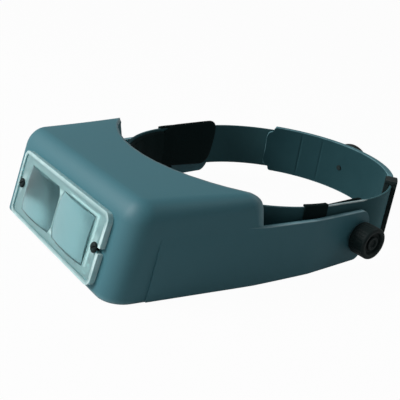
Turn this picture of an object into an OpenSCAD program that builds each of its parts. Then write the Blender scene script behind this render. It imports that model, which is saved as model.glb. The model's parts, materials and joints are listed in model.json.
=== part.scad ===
// Head visor magnifier: a moulded hood with a lens plate, tilting on a headband.
// Millimetres, +Z up, -Y is the way the wearer looks, +X is the wearer's left.
// Sizes are first laid out from the middle of the tilt axis, then seated on Z = 0.

/* [Headband] */
// Outer radius of the round front and back of the band
band_r = 81.5; // [76:0.5:90]
// Length of the straight run at each temple
band_side = 31; // [20:1:45]
// Thickness of the band and the rear strap
band_t = 1.6; // [1.2:0.1:2.2]
// Height of the front band
band_h = 31.5; // [26:0.5:34]
// Height of the band's middle above the tilt axis
band_lift = 6.4; // [4:0.2:9]
// Distance of the rear arc's centre behind the tilt axis
rear_y = 3; // [0:0.5:6]
// How far the wide rear strap stands over each edge of the band
strap_over = 3; // [1.75:0.25:5]
// Angle from the back to the strap's free end on the wearer's right
strap_right = 49; // [44:1:60]
// Angle from the back to the strap's end on the wearer's left
strap_left = 46; // [40:1:46]
// Thickness of the sweatband and the temple pads
pad_t = 2.6; // [1.8:0.1:3.2]
// Height of the sweatband at the forehead
sweat_h = 29; // [24:0.5:31]
// Height of the temple pads
temple_h = 36.5; // [35:0.5:40]

/* [Buckle and rear lock] */
// Place of the buckle, as an angle from the back
buckle_at = 52; // [52:1:62]
// Width of the buckle along the band, as an angle
buckle_span = 8.5; // [6:0.5:10]
// Slack of the band's height in the buckle's opening
buckle_slack = 0.9; // [0.6:0.1:3]
// Thickness of the buckle's bars
buckle_bar = 2.6; // [1.8:0.1:3]
// Place of the rear lock, as an angle from the back
lock_at = -5; // [-8:1:0]
// Radius of the rear lock knob
lock_r = 18; // [14:0.5:20]
// Length of the rear lock knob
lock_l = 10; // [8:0.5:13]
// Radius of the rear lock screw
lock_screw_r = 1.3; // [1.2:0.1:2.2]

/* [Visor] */
// Distance from the tilt axis forward to the front wall
front_dist = 164; // [155:1:175]
// Lean of the front wall from upright
front_tilt = 12.4; // [6:0.2:18]
// Outer width of the hood at the front wall
hood_w = 143; // [136:1:150]
// Gap between the band and an arm, filled by the friction washer
arm_gap = 1.9; // [1.9:0.1:4]
// Height of the hood's roof above the tilt axis
hood_top = 31.5; // [29:0.5:38]
// Depth of the hood's rim below the tilt axis
hood_drop = 22.5; // [20:0.5:26]
// Wall thickness of the hood
wall = 2.5; // [2:0.1:3]
// Radius of the corners beside the front wall
corner_r = 14; // [10:0.5:18]
// Radius of the roof's edge at the front
roof_front_r = 11; // [8:0.5:12]
// Radius of the roof's edge at the rear
roof_r = 7.5; // [4:0.5:10]
// Distance from the tilt axis forward to the end of the roof
roof_end = 82; // [78:1:90]
// Gap between the brow edge of the roof and the front of the band
brow_gap = 2.5; // [1:0.5:6]
// Half width of the brow edge's arc where it meets the roof's end
brow_half = 78; // [70:1:82]
// Half height of the arm at the tilt axis
arm_r = 17; // [15:0.5:19]
// Length of the arm's rounded end behind the tilt axis
arm_end = 9; // [8.5:0.5:14]
// Thickness of the arm
arm_t = 3; // [2.5:0.1:3.5]
// Length of the arm that runs straight back
arm_straight = 40; // [36:1:50]

/* [Lens plate] */
// Width of the lens plate
plate_w = 108; // [100:1:112]
// Height of the lens plate
plate_h = 42; // [40:0.5:44]
// Thickness of the lens plate
plate_t = 3.2; // [2.8:0.1:4]
// Radius of the lens plate's corners
plate_corner = 5; // [4:0.5:8]
// Inset of the two screws from the plate's ends
screw_inset = 5.8; // [5:0.2:7]
// Height of the lens windows
window_h = 31; // [28:0.5:33]
// Radius of each lens's outline
lens_r = 24; // [22:0.5:26]
// Distance between the middles of the lenses
lens_pitch = 45; // [42:0.5:48]
// Radius of the lens's curved face
lens_curve = 95; // [80:1:140]
// Thickness of a lens at its middle
lens_t = 5.4; // [4.6:0.1:6]

/* [Screws and knobs] */
// Radius of the tilt axis studs
stud_r = 2.5; // [2:0.1:3]
// Radius of a tilt knob
knob_r = 10.5; // [9:0.5:12]
// Length of a tilt knob
knob_l = 12; // [10:0.5:14]
// Radius of the lens plate screws
screw_r = 1.5; // [1.2:0.1:1.8]
// Radius of a lens plate nut
nut_r = 4.5; // [4:0.5:6]

/* [Hidden] */
$fn = 64;

// Gap of a shaft that turns in a hole, and of faces that lie side by side
run_gap = 0.08;
seat_gap = 0.05;
// Gap between soft pads and what they lie on
soft_gap = 0.2;
far_out = 400;

// Headband
band_in = band_r - band_t;
front_y = rear_y - band_side;
band_top = band_lift + band_h / 2;
tail_right = 16;
tail_left = 13;
strap_h = band_h + 2 * strap_over;
strap_out = band_in - soft_gap;
strap_in = strap_out - band_t;
tab_deg = 4;
tab_h = band_h - 1.5;
seam_deg = 0.5;
seam_depth = 0.5;
seam_degs = [-32, -19];
slot_from = -9;
slot_to = 22;
pad_out = band_in - soft_gap;
pad_crown = 110;
temple_front = 15;
temple_rear = 5.6;
temple_front_deg = 11;
temple_round = 5;
temple_slant = 4.2;
loop_front_deg = 13.5;
loop_rear_deg = 1.5;
loop_t = 0.9;
loop_lip = 1.2;
loop_out = band_r + soft_gap + loop_t;

// Buckle and rear lock, as radii from the rear arc's centre
buckle_play = 0.6;
buckle_gap_h = band_h + buckle_slack;
buckle_in = band_in - buckle_play - buckle_bar;
buckle_out = band_r + buckle_play + buckle_bar;
washer_t = 1.2;
lock_washer_r = 8;
lock_head_r = lock_screw_r + 0.6;
lock_head_t = 0.8;
hole_deg = asin((lock_screw_r + run_gap) / strap_in);
lock_washer_at = band_r + seat_gap;
lock_knob_at = lock_washer_at + washer_t + seat_gap;
grip_edge = 1;
rim_gap = 0.5;
rim_out = lock_knob_at - rim_gap;
rim_from = band_h / 2 + soft_gap;
rim_deg = 0.4;

// Hood
hw_front = hood_w / 2;
panel_raise = 1;
hood_rear_w = 2 * (band_r + arm_gap + arm_t - panel_raise);
hw_arm = hood_rear_w / 2;
splay = (hw_arm - hw_front) / (front_dist - arm_straight);
splay_deg = atan(splay);
corner_x = hw_front + splay * corner_r - corner_r / cos(splay_deg);
roof_slope = 0.02;
panel_top = 16.5;
panel_front = front_dist - 16;
panel_lean = 0.154;
panel_r = 6;
step_lean = 3;
step_low = 14;
step_r = 5;
step_fillet = 1.5;
brow_y = front_y - band_r - brow_gap;
brow_y_end = -roof_end;
brow_c = (pow(brow_half, 2) + pow(brow_y_end, 2) - pow(brow_y, 2)) / (2 * (brow_y_end - brow_y));
brow_r = brow_c - brow_y;
window_edge = 4;

// Tilt axis stack, outward from the band's outer face
arm_in = hw_arm - arm_t + panel_raise;
arm_out = hw_arm + panel_raise;
washer_r = 9;
spring_t = 1;
spring_r = 8;
knob_at = arm_out + spring_t + 2 * seat_gap;
stud_head_r = 4;
stud_head_t = 1.2;
knob_bore_l = 8.5;
flutes = 24;

// Lens plate
hole_x = plate_w / 2 - screw_inset;
lip_w = 2.4;
lip_d = 0.7;
lens_gap = 0.1;
bridge = 0.6;
lens_edge = 41;
screw_head_r = 3;
screw_head_t = 1.5;
nut_l = 5;

// Seat of the whole object: middle of its length, and its lowest rim, at the origin
front_most = -front_dist - plate_t * cos(front_tilt) - plate_h / 2 * sin(front_tilt);
rear_most = rear_y + (lock_knob_at + lock_l) * cos(lock_at) + (lock_r - grip_edge) * abs(sin(lock_at));
seat = [0, -(front_most + rear_most) / 2, hood_drop];
echo(seat = seat, brow_r = brow_r, brow_c = brow_c, arm_in = arm_in, knob_end = knob_at + knob_l,
    length = rear_most - front_most);

// Frames

module seated() { translate(seat) children(); }

// Sketch frame on the front wall: -Y points out of the wall, Z up the wall
module at_front() { translate([0, -front_dist, 0]) rotate([-front_tilt, 0, 0]) children(); }

// Left for +1, right for -1
module on_side(s) { if (s > 0) children(); else mirror([1, 0, 0]) children(); }

// Turns +X outward to an angle from the back of the rear arc
module at_rear(deg) { translate([0, rear_y, band_lift]) rotate([0, 0, 90 - deg]) children(); }

// Plan of the loop out to a radius, and of a strip along it
module loop_plan(r) {
    for (y = [front_y, rear_y]) translate([0, y]) circle(r, $fn = 240);
    translate([-r, front_y]) square([2 * r, band_side]);
}

module loop_strip(r_out, t) { difference() { loop_plan(r_out); loop_plan(r_out - t); } }

// Plan of a wedge between two angles from the back, about the rear arc's centre
module wedge(from, to) {
    translate([0, rear_y]) polygon(concat([[0, 0]],
        [for (i = [0:4]) let (a = from + (to - from) * i / 4) far_out * [sin(a), cos(a)]]));
}

// Stands a plan up to a height, level with the band's middle
module upright(h) { translate([0, 0, band_lift - h / 2]) linear_extrude(h) children(); }

// Sweeps a sketch round the front arc, between two angles from the temple
module front_run(from, to) {
    translate([0, front_y, band_lift]) rotate([0, 0, -to])
        rotate_extrude(angle = to - from, $fn = 240) children();
}

// Sweeps a sketch round the rear arc between two angles from the back
module rear_run(from, to) {
    translate([0, rear_y, band_lift]) rotate([0, 0, 90 - to])
        rotate_extrude(angle = to - from, $fn = 240) children();
}

module strip(r_in, t, h) { translate([r_in, -h / 2]) square([t, h]); }

// Pad sketch with a crowned inner face and drawn-in edges
module crowned(r_out, t, h) {
    intersection() {
        strip(r_out - t, t, h);
        translate([r_out - t + pad_crown, 0]) circle(pad_crown, $fn = 360);
    }
}

module round_rect(w, h, r) {
    square([w - 2 * r, h], center = true);
    square([w, h - 2 * r], center = true);
    for (x = [-1, 1], y = [-1, 1]) translate([x * (w / 2 - r), y * (h / 2 - r)]) circle(r);
}

// Cylinder along +X
module rod(r, l, x = 0) { translate([x, 0, 0]) rotate([0, 90, 0]) cylinder(r = r, h = l); }

// Headband

module front_band() color("#35505a") difference() {
    upright(band_h) difference() {
        loop_strip(band_r, band_t);
        wedge(-tail_right, -tail_left);
    }
    for (s = [-1, 1]) on_side(s) rod(stud_r + run_gap, band_r + 1, 1);
    lock_slot();
}

// Slot in the band's left tail that lets the rear lock's screw travel
module lock_slot() {
    rear_run(slot_from, slot_to) strip(band_in - 1, band_t + 2, 2 * lock_screw_r + 0.6);
}

module rear_strap() color("#2f4a54") {
    difference() {
        upright(strap_h) intersection() {
            translate([0, rear_y]) difference() {
                circle(strap_out, $fn = 240);
                circle(strap_in, $fn = 240);
            }
            wedge(-strap_right - tab_deg, strap_left);
        }
        // shoulders beside the narrow tab
        for (z = [-1, 1]) translate([0, 0, z * (tab_h + strap_h) / 2])
            upright(strap_h) wedge(-strap_right - 3 * tab_deg, -strap_right);
        // square hole that keeps the screw from turning
        rear_run(lock_at - hole_deg, lock_at + hole_deg) strip(1, band_r, 2 * (lock_screw_r + run_gap));
        for (a = seam_degs)
            rear_run(a - seam_deg / 2, a + seam_deg / 2) strip(strap_in - 1, 1 + seam_depth, strap_h - 4);
    }
    // rims over and under the band's tails
    for (z = [-1, 1]) rear_run(-strap_right + rim_deg, strap_left - rim_deg)
        translate([0, z * (rim_from + strap_h / 2) / 2])
            strip(strap_out - band_t / 2, rim_out - strap_out + band_t / 2, strap_h / 2 - rim_from);
}

module sweatband() color("#14181a") {
    for (s = [-1, 1]) on_side(s) front_run(temple_front_deg + 1, 90) crowned(pad_out, pad_t, sweat_h);
}

// Side view of a temple pad: as tall as the sweatband in front, slanted and rounded behind
module temple_outline() {
    rear = rear_y + temple_rear - temple_round;
    half = temple_h / 2 - temple_round;
    hull() for (z = [-1, 1]) {
        translate([front_y - temple_front + 2, band_lift + z * (sweat_h / 2 - 2)]) circle(2);
        translate([front_y, band_lift + z * half]) circle(temple_round);
        translate([z > 0 ? rear : rear - temple_slant, band_lift + z * half]) circle(temple_round);
    }
}

module temple_pad(s) color("#101416") on_side(s) difference() {
    intersection() {
        upright(temple_h) intersection() {
            loop_strip(pad_out, pad_t);
            translate([0, front_y - temple_front]) square([far_out, band_side + temple_front + temple_rear]);
        }
        side_view(far_out) temple_outline();
        // crown of the inner face, which also thins the ends
        translate([pad_out - pad_t + pad_crown, far_out, band_lift]) rotate([90, 0, 0])
            cylinder(r = pad_crown, h = 2 * far_out, $fn = 360);
    }
    // pocket for the stud's head
    translate([pad_out - pad_t / 2, -stud_head_r - 0.3, -stud_head_r - 0.3])
        cube([pad_t, 2 * stud_head_r + 0.6, 2 * stud_head_r + 0.6]);
}

// Cloth loop that ties a temple pad round the band
module sweatband_loop(s) color("#16191b") on_side(s) front_run(loop_rear_deg, loop_front_deg) {
    root = pad_out + seat_gap;
    lip_at = band_h / 2 + soft_gap;
    strip(band_r + soft_gap, loop_t, band_h + 2 * (loop_lip + soft_gap));
    for (z = [-1, 1]) translate([root, z > 0 ? lip_at : -lip_at - loop_lip]) square([loop_out - root, loop_lip]);
}

// Slide buckle: a flat loop round the band's left tail, ahead of the strap's end
module buckle() color("#0c1012") difference() {
    rear_run(buckle_at - buckle_span / 2, buckle_at + buckle_span / 2)
        strip(buckle_in, buckle_out - buckle_in, buckle_gap_h + 2 * buckle_bar);
    rear_run(buckle_at - buckle_span, buckle_at + buckle_span)
        strip(buckle_in + buckle_bar, buckle_out - buckle_in - 2 * buckle_bar, buckle_gap_h);
    for (d = [-1, 1]) {
        mid = buckle_at + d * buckle_span / 4.4;
        rear_run(mid - buckle_span / 8, mid + buckle_span / 8)
            strip(buckle_out - 2 * buckle_bar, 3 * buckle_bar, buckle_gap_h - 4);
    }
}

module lock_screw() color("#15191a") at_rear(lock_at) {
    rod(lock_head_r, lock_head_t, strap_in - lock_head_t - seat_gap);
    rod(lock_screw_r, lock_knob_at + lock_l - 3 - strap_in + lock_head_t, strap_in - lock_head_t);
}

module lock_washer() color("#1a1e20") at_rear(lock_at) difference() {
    rod(lock_washer_r, washer_t, lock_washer_at);
    rod(lock_screw_r + run_gap, far_out, 1);
    // its inner face follows the band
    translate([0, 0, -strap_h]) cylinder(r = lock_washer_at, h = 2 * strap_h, $fn = 180);
}

// Round grip knob with flutes and a dished face, along +X from its inner face
module grip(r, l, bore_r, bore_l) {
    face_r = 0.68 * r;
    dish = 1.6;
    edge = grip_edge;
    flute_r = 0.07 * r;
    difference() {
        rotate([0, 90, 0]) rotate_extrude() difference() {
            polygon([[0, 0], [r - edge, 0], [r, edge], [r, l - edge], [r - edge, l], [0, l]]);
            translate([0, l - dish]) square([face_r, 2 * dish]);
        }
        for (i = [0:flutes - 1]) rotate([i * 360 / flutes, 0, 0])
            translate([2.2 * edge, r + flute_r / 2, 0]) rod(flute_r, l - 4.4 * edge);
        rod(bore_r, bore_l + 1, -1);
    }
    // raised boss in the middle of the face
    difference() {
        rod(0.42 * r, dish - 0.4, l - dish - 0.01);
        rod(0.26 * r, dish, l - 0.9);
    }
}

module lock_knob() color("#0b0e10") at_rear(lock_at)
    translate([lock_knob_at, 0, 0]) grip(lock_r, lock_l, lock_screw_r + run_gap, lock_l - 2.6);

// Tilt axis

module pivot_stud(s) color("#6a7072") on_side(s) {
    rod(stud_head_r, stud_head_t, band_in - stud_head_t - seat_gap);
    rod(stud_r, knob_at + knob_bore_l - 0.5 - band_in + stud_head_t, band_in - stud_head_t);
}

module friction_washer(s) color("#1c1f20") on_side(s) difference() {
    rod(washer_r, arm_in - band_r - 2 * seat_gap, band_r + seat_gap);
    rod(stud_r + run_gap, far_out, 1);
}

module spring_washer(s) color("#8a8f90") on_side(s) difference() {
    rod(spring_r, spring_t, arm_out + seat_gap);
    rod(stud_r + run_gap, far_out, 1);
}

module pivot_knob(s) color("#0a0d0e") on_side(s)
    translate([knob_at, 0, 0]) grip(knob_r, knob_l, stud_r + run_gap, knob_bore_l);

// Visor

// Rounded body of the hood, drawn in by the wall for its inside
module hood_body(inset) {
    deep = 2 * hood_drop;
    rear_end = roof_end - step_lean - 4;
    rear_hw = hw_front + splay * (front_dist - rear_end);
    hull() for (x = [-1, 1]) {
        at_front() for (z = [-deep, (hood_top - roof_front_r) / cos(front_tilt)])
            translate([x * corner_x, corner_r, z])
                rotate_extrude($fn = 48) intersection() {
                    translate([corner_r - roof_front_r, 0]) circle(roof_front_r - inset, $fn = 32);
                    translate([0, -corner_r]) square(2 * corner_r);
                }
        for (z = [-deep, hood_top + roof_slope * (front_dist - rear_end) - roof_r])
            translate([x * (rear_hw - roof_r), -rear_end, z]) sphere(roof_r - inset, $fn = 32);
    }
}

// Side view of the hood: flat rim, roof, and the rounded step down to the arm
module hood_profile() {
    high = 3 * hood_top;
    roof_rear = hood_top + roof_slope * (front_dist - roof_end);
    foot = step_low + 0.5;
    lean = step_lean / (roof_rear - step_r - foot);
    polygon(concat(
        [[-1.5 * front_dist, -hood_drop], [-1.5 * front_dist, high], [-roof_end - step_r, high],
         [-roof_end - step_r, roof_rear]],
        [for (a = [80:-20:20]) [-roof_end - step_r + step_r * cos(a), roof_rear - step_r + step_r * sin(a)]],
        [for (i = [0:6]) let (up = step_fillet * i / 6)
            [-roof_end + step_lean - lean * (step_fillet - up) + step_fillet - sqrt(pow(step_fillet, 2) - pow(up, 2)),
             foot + step_fillet - up]],
        [[-roof_end + step_lean + step_fillet, -hood_drop]]));
}

// Side view of the arm and of the raised panel that carries it forward
module arm_profile() {
    bend_z = panel_top - panel_r;
    bend_y = -panel_front + panel_lean * (bend_z + hood_drop) + panel_r;
    polygon(concat(
        [[-roof_end + step_lean, step_low + 0.5]],
        [for (a = [90:15:180]) [bend_y + panel_r * cos(a), bend_z + panel_r * sin(a)]],
        [[-panel_front, -hood_drop], [-roof_end, -hood_drop]],
        [for (a = [-90:6:90]) [arm_end * cos(a), arm_r * sin(a)]]));
}

// Plan of one arm, splayed along the hood and then straight back
module arm_plan() {
    start = front_dist - corner_r;
    at_start = hw_front + splay * corner_r;
    inner = arm_t - panel_raise;
    polygon([[at_start + panel_raise, -start], [hw_arm + panel_raise, -arm_straight],
        [hw_arm + panel_raise, 2 * arm_end], [hw_arm - inner, 2 * arm_end],
        [hw_arm - inner, -arm_straight], [at_start - inner, -start]]);
}

module side_view(w) { rotate([90, 0, 90]) translate([0, 0, -w / 2]) linear_extrude(w) children(); }

module visor_hood() color("#5d7f8c") difference() {
    union() {
        difference() {
            intersection() {
                hood_body(0);
                side_view(far_out) hood_profile();
            }
            hood_body(wall);
            translate([0, brow_c, 0]) cylinder(r = brow_r, h = far_out, $fn = 180);
        }
        for (s = [-1, 1]) on_side(s) intersection() {
            translate([0, 0, -far_out / 2]) linear_extrude(far_out) arm_plan();
            side_view(far_out) arm_profile();
        }
    }
    for (s = [-1, 1]) on_side(s) rod(stud_r + run_gap, far_out, 1);
    at_front() {
        translate([0, wall + 1, 0]) rotate([90, 0, 0]) linear_extrude(wall + 2)
            round_rect(plate_w - 2 * (screw_inset + window_edge + 1), window_h, 3);
        for (x = [-1, 1]) translate([x * hole_x, wall + 1, 0]) rotate([90, 0, 0])
            cylinder(r = screw_r + run_gap, h = wall + 2);
    }
}

// Outline of one lens: a disc cut straight by the window and the bridge
module lens_outline(s, gap) {
    intersection() {
        translate([s * lens_pitch / 2, 0]) circle(lens_r + gap, $fn = 128);
        translate([s * (bridge / 2 + lens_edge / 2), 0])
            square([lens_edge - bridge + 2 * gap, window_h - 2 + 2 * gap], center = true);
    }
}

module lens_frame() color([0.78, 0.9, 0.9, 0.6]) at_front() rotate([90, 0, 0]) difference() {
    linear_extrude(plate_t) round_rect(plate_w, plate_h, plate_corner);
    translate([0, 0, plate_t - lip_d]) linear_extrude(plate_t)
        round_rect(plate_w - 2 * lip_w, plate_h - 2 * lip_w, plate_corner - lip_w);
    for (s = [-1, 1]) {
        translate([0, 0, -1]) linear_extrude(plate_t + 2) lens_outline(s, lens_gap);
        translate([s * hole_x, 0, -1]) cylinder(r = screw_r + run_gap, h = plate_t + 2);
    }
    // open end of the screw slot on the wearer's left
    translate([hole_x, -screw_r - run_gap, -1]) cube([plate_w, 2 * (screw_r + run_gap), plate_t + 2]);
}

module lens(s) color([0.85, 0.95, 0.96, 0.4]) at_front() rotate([90, 0, 0]) intersection() {
    translate([0, 0, seat_gap]) linear_extrude(lens_t) lens_outline(s, 0);
    translate([s * lens_pitch / 2, 0, seat_gap + lens_t - lens_curve]) sphere(lens_curve, $fn = 180);
}

module lens_screws() color("#12171a") for (s = [-1, 1])
    at_front() translate([s * hole_x, 0, 0]) rotate([90, 0, 0]) {
        translate([0, 0, plate_t - lip_d + seat_gap]) cylinder(r = screw_head_r, h = screw_head_t);
        translate([0, 0, -wall - nut_l]) cylinder(r = screw_r, h = plate_t + wall + nut_l);
    }

module lens_nut(s) color("#15191b") at_front()
    translate([s * hole_x, wall + seat_gap, 0]) rotate([0, 0, 90])
        difference() {
            rod(nut_r, nut_l);
            rod(screw_r + run_gap, nut_l + 2, -1);
            for (i = [0:11]) rotate([i * 30, 0, 0]) translate([0, nut_r + 0.2, 0]) rod(0.6, nut_l + 2, -1);
        }

seated() visor_hood();
seated() lens_frame();
seated() lens(1);  // lens_left
seated() lens(-1);  // lens_right
seated() lens_screws();
seated() lens_nut(1);  // lens_nut_left
seated() lens_nut(-1);  // lens_nut_right
seated() front_band();
seated() sweatband();
seated() temple_pad(1);  // temple_pad_left
seated() temple_pad(-1);  // temple_pad_right
seated() sweatband_loop(1);  // sweatband_loop_left
seated() sweatband_loop(-1);  // sweatband_loop_right
seated() rear_strap();
seated() buckle();
seated() lock_screw();
seated() lock_washer();
seated() lock_knob();
seated() pivot_stud(1);  // pivot_stud_left
seated() pivot_stud(-1);  // pivot_stud_right
seated() friction_washer(1);  // friction_washer_left
seated() friction_washer(-1);  // friction_washer_right
seated() spring_washer(1);  // spring_washer_left
seated() spring_washer(-1);  // spring_washer_right
seated() pivot_knob(1);  // pivot_knob_left
seated() pivot_knob(-1);  // pivot_knob_right
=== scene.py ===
import json
import math

import bmesh
import bpy
from mathutils import Matrix, Vector


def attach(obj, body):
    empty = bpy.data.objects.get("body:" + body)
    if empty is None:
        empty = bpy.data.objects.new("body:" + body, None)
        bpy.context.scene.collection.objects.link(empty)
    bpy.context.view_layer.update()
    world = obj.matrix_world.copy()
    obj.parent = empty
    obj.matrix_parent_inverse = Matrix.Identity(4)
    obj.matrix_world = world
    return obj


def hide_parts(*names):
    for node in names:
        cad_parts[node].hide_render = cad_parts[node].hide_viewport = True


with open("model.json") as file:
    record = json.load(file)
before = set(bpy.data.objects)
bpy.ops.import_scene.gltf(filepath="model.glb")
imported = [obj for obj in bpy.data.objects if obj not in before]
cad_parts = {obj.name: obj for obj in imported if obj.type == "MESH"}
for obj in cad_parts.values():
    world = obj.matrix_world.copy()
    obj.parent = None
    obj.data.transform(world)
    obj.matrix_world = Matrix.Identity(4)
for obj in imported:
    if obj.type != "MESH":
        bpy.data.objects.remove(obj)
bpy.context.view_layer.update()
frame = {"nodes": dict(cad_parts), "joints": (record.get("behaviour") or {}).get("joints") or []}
pivot = Vector(next(j for j in frame["joints"] if j["name"] == "visor_tilt")["pos_m"])
print("frame loaded,", len(frame["nodes"]), "nodes")

scene = bpy.context.scene
scene.view_settings.view_transform = "Standard"
mm = 0.001


def at(x, y, z):
    return Vector((x, y, z)) * mm + pivot  # millimetres from the middle of the tilt axis


def linked(name, data):
    thing = bpy.data.objects.new(name, data)
    scene.collection.objects.link(thing)
    return thing


cameraSet = dict(place=(326.8, -328.4, 157.2), right=(0.582, 0.800, 0.146),
                 up=(-0.371, 0.101, 0.923), lens=60.4, clip=(0.01, 20))


def makeCamera():
    data = bpy.data.cameras.new("photoCamera")
    data.lens = cameraSet["lens"]
    data.clip_start, data.clip_end = cameraSet["clip"]
    right = Vector(cameraSet["right"]).normalized()
    up = Vector(cameraSet["up"])
    up = (up - right * up.dot(right)).normalized()
    turn = Matrix((right, up, right.cross(up))).transposed().to_4x4()
    scene.camera = linked("photoCamera", data)
    scene.camera.matrix_world = Matrix.Translation(at(*cameraSet["place"])) @ turn


lightSet = dict(
    key=dict(place=(-420, -900, 620), size=650, power=12.0),
    fill=dict(place=(250, -800, 60), size=350, power=0.5),
    rim=dict(place=(350, 600, 800), size=400, power=1.5),
    aim=(0, -50, 0), worldTint=(0.93, 0.97, 1.0), worldLight=0.13, mirrored=0.3)
floorSet = dict(reach=6.0, glow=0.97, tone=0.5, rough=0.9)


def makeLight(name, place, size, power):
    data = bpy.data.lights.new(name, "AREA")
    data.shape, data.size, data.energy = "DISK", size * mm, power
    lamp = linked(name, data)
    lamp.location = at(*place)
    lamp.rotation_euler = (at(*lightSet["aim"]) - lamp.location).to_track_quat("-Z", "Y").to_euler()


def feed(tree, socket, value):
    if isinstance(value, (int, float)):
        socket.default_value = value
    elif isinstance(value, tuple):
        socket.default_value = value + (1,)
    else:
        tree.links.new(value, socket)


def mathNode(tree, operation, a, b, clamp=False):
    node = tree.nodes.new("ShaderNodeMath")
    node.operation, node.use_clamp = operation, clamp
    feed(tree, node.inputs[0], a)
    feed(tree, node.inputs[1], b)
    return node.outputs[0]


def seenRays(tree):
    path = tree.nodes.new("ShaderNodeLightPath")
    shine = mathNode(tree, "MULTIPLY", path.outputs["Is Glossy Ray"], lightSet["mirrored"])
    camera, through = path.outputs["Is Camera Ray"], path.outputs["Is Transmission Ray"]
    direct = mathNode(tree, "MAXIMUM", camera, through)
    return mathNode(tree, "MAXIMUM", direct, shine)


def blend(tree, share, unseen, seen, output):
    mix = tree.nodes.new("ShaderNodeMixShader")
    for socket, value in zip(mix.inputs, (share, unseen, seen)):
        feed(tree, socket, value)
    feed(tree, tree.nodes[output].inputs["Surface"], mix.outputs[0])


def newMaterial(name):
    look = bpy.data.materials.new(name)
    look.use_nodes = True
    return look, look.node_tree, look.node_tree.nodes["Principled BSDF"]


def makeWorld():
    scene.world = bpy.data.worlds.new("studio")
    scene.world.use_nodes = True
    tree = scene.world.node_tree
    dim = tree.nodes["Background"]
    feed(tree, dim.inputs["Color"], lightSet["worldTint"])
    feed(tree, dim.inputs["Strength"], lightSet["worldLight"])
    white = tree.nodes.new("ShaderNodeBackground")
    feed(tree, white.inputs["Color"], (1, 1, 1))
    blend(tree, seenRays(tree), dim.outputs[0], white.outputs[0], "World Output")


def makeFloor():
    reach = floorSet["reach"]
    mesh = bpy.data.meshes.new("floor")
    corners = [(x * reach, y * reach, 0) for x, y in ((-1, -1), (1, -1), (1, 1), (-1, 1))]
    mesh.from_pydata(corners, [], [(0, 1, 2, 3)])
    floor = linked("floor", mesh)
    paper, tree, matt = newMaterial("paleFloor")
    feed(tree, matt.inputs["Base Color"], (floorSet["tone"],) * 3)
    feed(tree, matt.inputs["Roughness"], floorSet["rough"])
    glow = tree.nodes.new("ShaderNodeEmission")
    share = mathNode(tree, "MULTIPLY", seenRays(tree), floorSet["glow"])
    blend(tree, share, matt.outputs[0], glow.outputs[0], "Material Output")
    mesh.materials.append(paper)


makeCamera()
makeWorld()
makeFloor()
for lampName in ("key", "fill", "rim"):
    makeLight(lampName, **lightSet[lampName])
print("camera, floor and light set")


noiseRough = 0.55
grainSet = dict(detail=2.0, share=0.6, patchDetail=4.0)
# noise that breaks up the painted edge highlight
highlightSet = dict(scale=120.0, detail=3.0, least=0.25)
weaveSet = dict(distortion=0.6, toneScale=60.0, toneDetail=4.0)
hazeSet = dict(scale=90.0, detail=4.0, lift=1.05, shine=(0.55, 0.9, 0.93))


def newGroup(name, inputs, outputs):
    group = bpy.data.node_groups.new(name, "ShaderNodeTree")
    for label, way in [(i, "INPUT") for i in inputs] + [(o, "OUTPUT") for o in outputs]:
        group.interface.new_socket(label, in_out=way, socket_type="NodeSocketFloat")
    return group, group.nodes.new("NodeGroupInput").outputs, group.nodes.new("NodeGroupOutput").inputs


def objectSpace(tree):
    return tree.nodes.new("ShaderNodeTexCoord").outputs["Object"]


def noiseNode(tree, where, scale, detail):
    node = tree.nodes.new("ShaderNodeTexNoise")
    for label, value in dict(Vector=where, Scale=scale, Detail=detail, Roughness=noiseRough).items():
        feed(tree, node.inputs[label], value)
    return node.outputs["Fac"]


def grainGroup():
    group, given, made = newGroup("mouldGrain", ("Scale", "Patch"), ("Height", "Tone"))
    where = objectSpace(group)  # fine tool texture, in patches
    cell = group.nodes.new("ShaderNodeTexVoronoi")
    feed(group, cell.inputs["Vector"], where)
    feed(group, cell.inputs["Scale"], given["Scale"])
    fine = noiseNode(group, where, given["Scale"], grainSet["detail"])
    fine = mathNode(group, "MULTIPLY", fine, grainSet["share"])
    pits = mathNode(group, "MULTIPLY", cell.outputs["Distance"], grainSet["share"])
    feed(group, made["Height"], mathNode(group, "ADD", fine, pits))
    feed(group, made["Tone"], noiseNode(group, where, given["Patch"], grainSet["patchDetail"]))
    return group


def highlightGroup():
    group, given, made = newGroup("paintedEdgeHighlight", ("Low", "High"), ("Mask",))  # painted highlight: pale colour on sharp edges, broken up by noise
    edge = group.nodes.new("ShaderNodeNewGeometry").outputs["Pointiness"]
    spread = group.nodes.new("ShaderNodeMapRange")
    for label, value in (("Value", edge), ("From Min", given["Low"]), ("From Max", given["High"])):
        feed(group, spread.inputs[label], value)
    breakup = noiseNode(group, objectSpace(group), highlightSet["scale"], highlightSet["detail"])
    breakup = mathNode(group, "ADD", breakup, highlightSet["least"], True)
    feed(group, made["Mask"], mathNode(group, "MULTIPLY", spread.outputs[0], breakup, True))
    return group


def weaveGroup():
    group, given, made = newGroup("clothWeave", ("Scale",), ("Height", "Tone"))  # crossed threads
    where = objectSpace(group)
    waves = []
    for axis in ("Z", "Y"):
        wave = group.nodes.new("ShaderNodeTexWave")
        wave.bands_direction = axis
        feed(group, wave.inputs["Vector"], where)
        feed(group, wave.inputs["Scale"], given["Scale"])
        feed(group, wave.inputs["Distortion"], weaveSet["distortion"])
        waves.append(wave.outputs["Fac"])
    feed(group, made["Height"], mathNode(group, "MULTIPLY", *waves))
    feed(group, made["Tone"], noiseNode(group, where, weaveSet["toneScale"], weaveSet["toneDetail"]))
    return group


grain, highlighter, weave = grainGroup(), highlightGroup(), weaveGroup()


def groupNode(tree, group, values):
    node = tree.nodes.new("ShaderNodeGroup")
    node.node_tree = group
    for label, value in values.items():
        feed(tree, node.inputs[label], value)
    return node.outputs


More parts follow.
